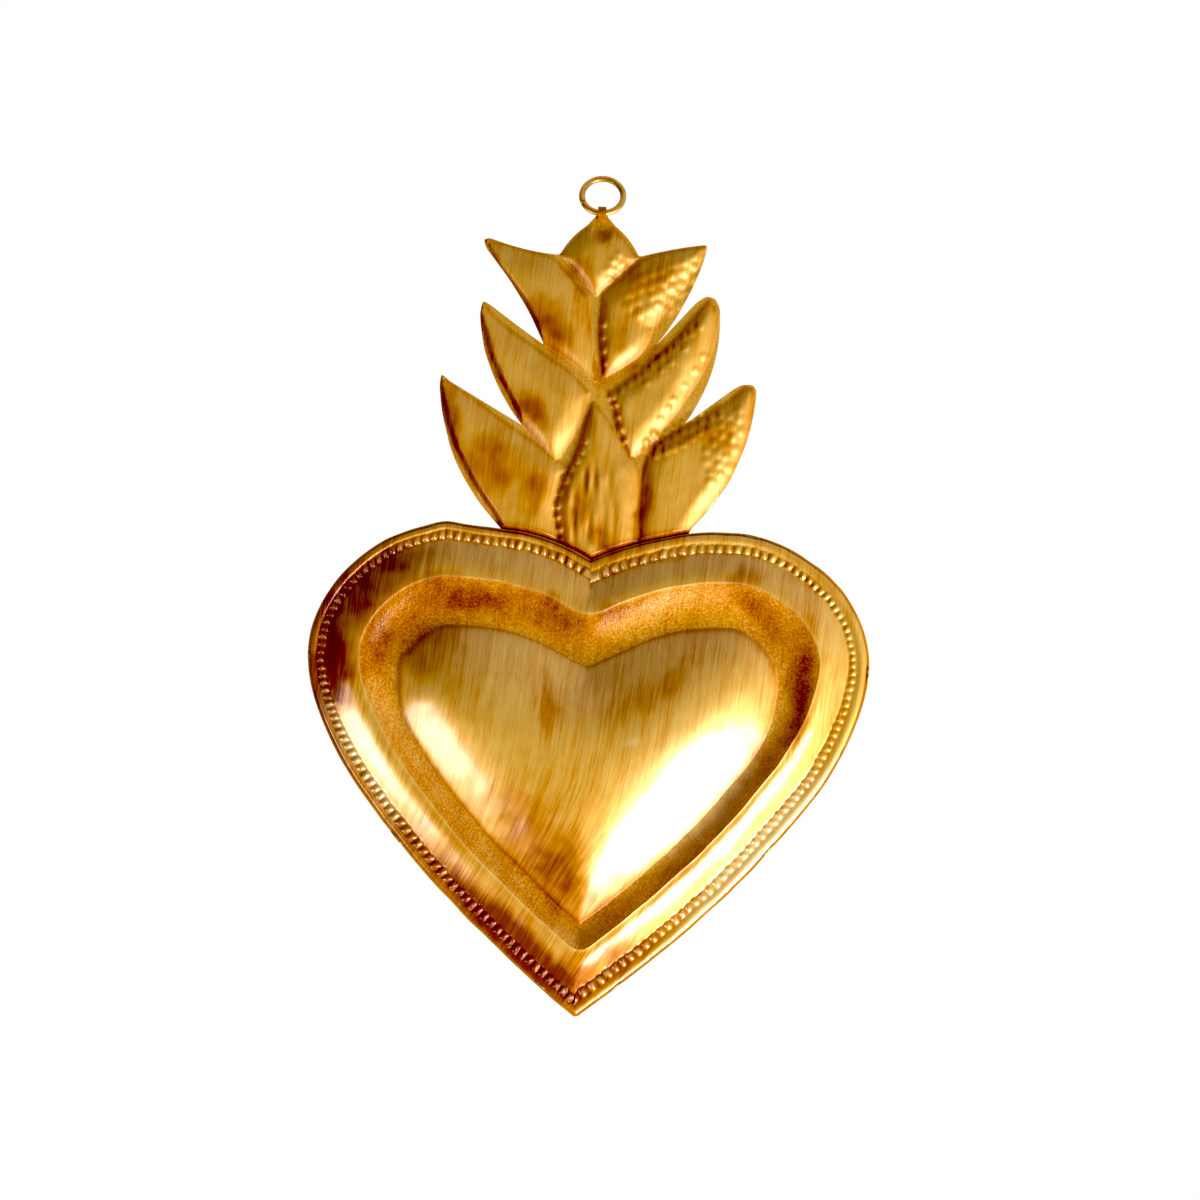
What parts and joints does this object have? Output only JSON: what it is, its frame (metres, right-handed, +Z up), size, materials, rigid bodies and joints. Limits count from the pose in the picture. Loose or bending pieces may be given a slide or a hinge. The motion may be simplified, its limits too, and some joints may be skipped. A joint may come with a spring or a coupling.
{
  "type": "sacred heart ornament",
  "caption": "Embossed sheet-metal heart with a beaded rim and a crown of flame leaves, hung by a wire ring that turns in a folded tongue.",
  "frame": {"origin": "middle of the hanging ring's eye, where the ornament is hung", "axes": "+Z up along the hanging ornament, -Y towards the viewer of the embossed front, +X to the viewer's right"},
  "size_m": [0.11, 0.0144, 0.1651],
  "materials": {
    "gilt_sheet": "brass-gold metallic with a brown glaze brushed over it, under glossy clear lacquer",
    "back_sheet": "brass-gold metallic, duller, with brown glaze",
    "ring_wire": "satin, lightly tarnished",
    "solder": "gilded over, rough"
  },
  "bodies": {
    "ring": {"hanging_ring": "ring_wire"},
    "ornament": {"crown": "gilt_sheet", "heart_front": "gilt_sheet", "heart_back": "back_sheet", "rim_tack_1": "solder", "rim_tack_2": "solder", "rim_tack_3": "solder", "rim_tack_4": "solder", "rim_tack_5": "solder", "rim_tack_6": "solder", "rim_tack_7": "solder", "rim_tack_8": "solder", "crown_solder_left": "solder", "crown_solder_right": "solder"}
  },
  "joints": [
    {"name": "ornament_swing", "type": "hinge", "parent": "ring", "child": "ornament", "pos_m": [0, -0.00202, -0.00351], "axis": [1, 0, 0], "range_deg": [-100, 100]}
  ]
}
